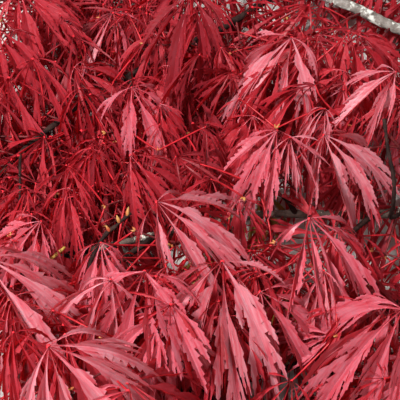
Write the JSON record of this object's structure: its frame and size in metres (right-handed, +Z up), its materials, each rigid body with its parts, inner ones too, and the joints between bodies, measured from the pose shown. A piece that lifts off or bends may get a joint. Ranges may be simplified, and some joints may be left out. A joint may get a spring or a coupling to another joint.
{
  "type": "cut japanese maple branch",
  "caption": "Cut leafy branch lying on a level surface: a grey stem, dark boughs and drooping, finely cut red leaves in overlapping masses.",
  "frame": {"origin": "middle of the underside of the whole branch, at the level of the surface that it lies on", "axes": "+Z up, +X towards the stem's cut end, -Y the way the leaves trail"},
  "size_m": [0.534, 0.5198, 0.1346],
  "materials": {
    "grey_bark": "rough, lichened bark",
    "dark_bark": "smooth young bark",
    "leaves": "satin leaf"
  },
  "bodies": {
    "root": {"back_bough": "dark_bark", "back_right_foliage": "leaves", "back_right_side_bough": "dark_bark", "centre_back_foliage": "leaves", "centre_back_side_bough": "dark_bark", "centre_front_foliage": "leaves", "centre_front_side_bough": "dark_bark", "centre_left_foliage": "leaves", "centre_left_side_bough": "dark_bark", "far_back_foliage": "leaves", "far_back_side_bough": "dark_bark", "far_left_foliage": "leaves", "front_bough": "dark_bark", "front_edge_foliage": "leaves", "front_edge_side_bough": "dark_bark", "front_left_foliage": "leaves", "front_left_side_bough": "dark_bark", "front_middle_foliage": "leaves", "front_middle_side_bough": "dark_bark", "front_right_foliage": "leaves", "front_right_side_bough": "dark_bark", "left_back_foliage": "leaves", "left_back_side_bough": "dark_bark", "left_corner_foliage": "leaves", "left_corner_side_bough": "dark_bark", "left_front_foliage": "leaves", "left_middle_foliage": "leaves", "left_middle_side_bough": "dark_bark", "long_bough": "dark_bark", "middle_foliage": "leaves", "middle_side_bough": "dark_bark", "near_left_foliage": "leaves", "right_back_foliage": "leaves", "right_back_side_bough": "dark_bark", "right_edge_foliage": "leaves", "right_edge_side_bough": "dark_bark", "right_front_foliage": "leaves", "right_front_side_bough": "dark_bark", "right_side_foliage": "leaves", "right_side_side_bough": "dark_bark", "right_top_foliage": "leaves", "right_top_side_bough": "dark_bark", "stem": "grey_bark", "top_centre_foliage": "leaves", "top_centre_side_bough": "dark_bark", "top_left_foliage": "leaves", "top_right_foliage": "leaves", "top_right_side_bough": "dark_bark"}
  },
  "joints": []
}
